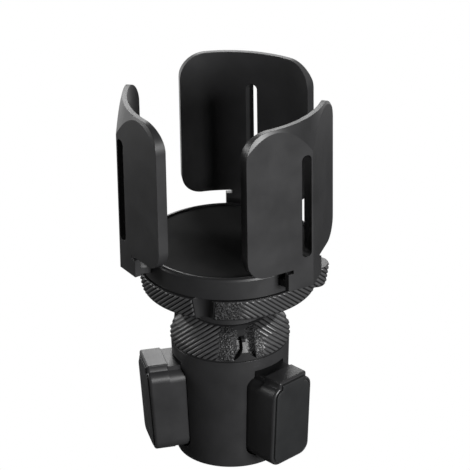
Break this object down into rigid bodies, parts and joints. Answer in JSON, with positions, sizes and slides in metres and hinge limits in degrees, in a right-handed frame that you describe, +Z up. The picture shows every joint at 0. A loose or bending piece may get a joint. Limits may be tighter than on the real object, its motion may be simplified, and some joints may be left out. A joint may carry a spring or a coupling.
{
  "type": "car cup holder",
  "caption": "Expanding cup holder: a stem with sliding feet clamps in a console well, and a tray above it carries three sliding jaws that close on a cup.",
  "frame": {"origin": "centre of the stem's underside", "axes": "+Z up the stem, -Y to the user's side, +Y along the rear jaw's slide, +X to the right"},
  "size_m": [0.1076, 0.1129, 0.205],
  "materials": {
    "stem_plastic": "satin moulded ABS",
    "dial_plastic": "twill-ribbed moulded grip",
    "neck_plastic": "satin moulded ABS",
    "tray_plastic": "satin moulded ABS",
    "jaw_plastic": "fine matte moulded ABS",
    "foot_plastic": "satin moulded ABS",
    "pad_rubber": "soft satin rubber",
    "mat_rubber": "matte rubber",
    "screw_steel": "zinc plated",
    "pin_steel": "ground steel"
  },
  "bodies": {
    "stem": {"stem_body": "stem_plastic", "bottom_cover": "stem_plastic", "base_screws": "screw_steel", "neck": "neck_plastic", "tray": "tray_plastic", "keeper_plate": "tray_plastic", "keeper_screws": "screw_steel", "tray_mat": "mat_rubber", "centre_bolt": "screw_steel", "centre_nut": "screw_steel"},
    "lower_dial": {"lower_dial": "dial_plastic"},
    "upper_ring": {"upper_ring": "dial_plastic"},
    "foot_slide_1": {"foot_1": "foot_plastic", "foot_pad_1": "pad_rubber", "foot_pin_1": "pin_steel"},
    "foot_slide_2": {"foot_2": "foot_plastic", "foot_pad_2": "pad_rubber", "foot_pin_2": "pin_steel"},
    "foot_slide_3": {"foot_3": "foot_plastic", "foot_pad_3": "pad_rubber", "foot_pin_3": "pin_steel"},
    "jaw_right": {"jaw_right": "jaw_plastic", "jaw_pin_right": "pin_steel"},
    "jaw_left": {"jaw_left": "jaw_plastic", "jaw_pin_left": "pin_steel"},
    "jaw_rear": {"jaw_rear": "jaw_plastic", "jaw_pin_rear": "pin_steel"}
  },
  "joints": [
    {"name": "lower_dial_turn", "type": "hinge", "parent": "stem", "child": "lower_dial", "pos_m": [0, 0, 0.072], "axis": [0, 0, 1], "range_deg": [-83.6, 6.4]},
    {"name": "upper_ring_turn", "type": "hinge", "parent": "stem", "child": "upper_ring", "pos_m": [0, 0, 0.103], "axis": [0, 0, 1], "range_deg": [-21.7, 54.2]},
    {"name": "foot_1_slide", "type": "slide", "parent": "stem", "child": "foot_slide_1", "axis": [-0.891, -0.454, 0], "range_m": [-0.013, 0.001]},
    {"name": "foot_2_slide", "type": "slide", "parent": "stem", "child": "foot_slide_2", "axis": [0.8387, -0.5446, 0], "range_m": [-0.013, 0.001]},
    {"name": "foot_3_slide", "type": "slide", "parent": "stem", "child": "foot_slide_3", "axis": [0.0523, 0.9986, 0], "range_m": [-0.013, 0.001]},
    {"name": "jaw_right_slide", "type": "slide", "parent": "stem", "child": "jaw_right", "axis": [0.866, -0.5, 0], "range_m": [-0.0036, 0.009]},
    {"name": "jaw_left_slide", "type": "slide", "parent": "stem", "child": "jaw_left", "axis": [-0.866, -0.5, 0], "range_m": [-0.0036, 0.009]},
    {"name": "jaw_rear_slide", "type": "slide", "parent": "stem", "child": "jaw_rear", "axis": [0, 1, 0], "range_m": [-0.0036, 0.009]}
  ],
  "couplings": [
    {"joint": "foot_1_slide", "follows": "lower_dial_turn", "m_per_rad": 0.0089},
    {"joint": "foot_2_slide", "follows": "lower_dial_turn", "m_per_rad": 0.0089},
    {"joint": "foot_3_slide", "follows": "lower_dial_turn", "m_per_rad": 0.0089},
    {"joint": "jaw_right_slide", "follows": "upper_ring_turn", "m_per_rad": 0.0095},
    {"joint": "jaw_left_slide", "follows": "upper_ring_turn", "m_per_rad": 0.0095},
    {"joint": "jaw_rear_slide", "follows": "upper_ring_turn", "m_per_rad": 0.0095}
  ]
}
